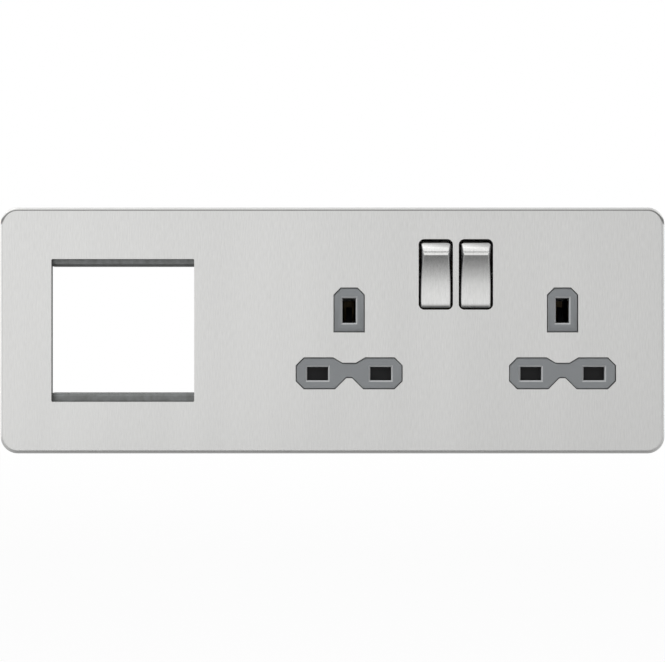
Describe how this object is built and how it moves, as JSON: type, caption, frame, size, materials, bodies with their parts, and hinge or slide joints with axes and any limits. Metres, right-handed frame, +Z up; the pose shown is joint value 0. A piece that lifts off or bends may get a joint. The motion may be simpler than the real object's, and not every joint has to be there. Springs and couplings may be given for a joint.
{
  "type": "twin switched wall socket with module aperture",
  "caption": "Flat brushed-metal wall plate with a twin switched three-pin socket and a square two-module opening, complete with yoke, shutters, rockers, contacts and terminals.",
  "frame": {"origin": "centre of the plate on the wall plane, where the yoke's back face lies", "axes": "+X right, +Y into the wall, +Z up as mounted; the face looks along -Y"},
  "size_m": [0.2336, 0.0289, 0.0864],
  "materials": {
    "brushed_plate": "vertical brushed satin",
    "black_nylon": "matt moulded",
    "zinc_steel": "zinc plated",
    "grey_moulding": "fine moulded satin",
    "pale_cover": "satin moulded",
    "dark_shutter": "satin moulded",
    "copper_alloy": "rolled strip",
    "brass": "rolled strip",
    "spring_steel": "drawn wire",
    "plated_screw": "yellow-clear zinc plated"
  },
  "bodies": {
    "base": {"clip_frame": "black_nylon", "mounting_yoke": "zinc_steel", "socket_moulding": "grey_moulding", "rear_cover": "pale_cover", "shutter_spring_left": "spring_steel", "shutter_spring_right": "spring_steel", "neutral_contact_left": "brass", "neutral_contact_right": "brass", "live_contact_left": "brass", "live_contact_right": "brass", "neutral_supply_bar": "brass", "live_supply_bar": "brass", "earth_bar": "brass", "neutral_terminal": "brass", "live_terminal": "brass", "earth_terminals": "brass", "terminal_screws": "plated_screw", "cover_screws": "plated_screw"},
    "plate": {"front_plate": "brushed_plate"},
    "rocker_left": {"rocker_cap_left": "brushed_plate", "rocker_body_left": "black_nylon", "rocker_plungers_left": "pale_cover"},
    "switch_arms_left": {"moving_contacts_left": "copper_alloy"},
    "shutter_left_body": {"shutter_left": "dark_shutter"},
    "rocker_right": {"rocker_cap_right": "brushed_plate", "rocker_body_right": "black_nylon", "rocker_plungers_right": "pale_cover"},
    "switch_arms_right": {"moving_contacts_right": "copper_alloy"},
    "shutter_right_body": {"shutter_right": "dark_shutter"}
  },
  "joints": [
    {"name": "plate_pull_off", "type": "slide", "parent": "base", "child": "plate", "axis": [0, -1, 0], "range_m": [0, 0.012]},
    {"name": "rocker_left_rock", "type": "hinge", "parent": "base", "child": "rocker_left", "pos_m": [0.0363, -0.0015, 0.0197], "axis": [-1, 0, 0], "range_deg": [0, 14]},
    {"name": "switch_arms_left_swing", "type": "hinge", "parent": "base", "child": "switch_arms_left", "pos_m": [0.0363, 0.0118, 0.0197], "axis": [1, 0, 0], "range_deg": [0, 17.5]},
    {"name": "shutter_left_slide", "type": "slide", "parent": "base", "child": "shutter_left_body", "axis": [0, 0, -1], "range_m": [0, 0.006], "stiffness_N_per_m": 90, "springref_m": -0.003, "deforming": ["shutter_spring_left"]},
    {"name": "rocker_right_rock", "type": "hinge", "parent": "base", "child": "rocker_right", "pos_m": [0.0504, -0.0015, 0.0197], "axis": [-1, 0, 0], "range_deg": [0, 14]},
    {"name": "switch_arms_right_swing", "type": "hinge", "parent": "base", "child": "switch_arms_right", "pos_m": [0.0504, 0.0118, 0.0197], "axis": [1, 0, 0], "range_deg": [0, 17.5]},
    {"name": "shutter_right_slide", "type": "slide", "parent": "base", "child": "shutter_right_body", "axis": [0, 0, -1], "range_m": [0, 0.006], "stiffness_N_per_m": 90, "springref_m": -0.003, "deforming": ["shutter_spring_right"]}
  ],
  "couplings": [
    {"joint": "switch_arms_left_swing", "follows": "rocker_left_rock", "ratio": 1.25},
    {"joint": "switch_arms_right_swing", "follows": "rocker_right_rock", "ratio": 1.25}
  ]
}
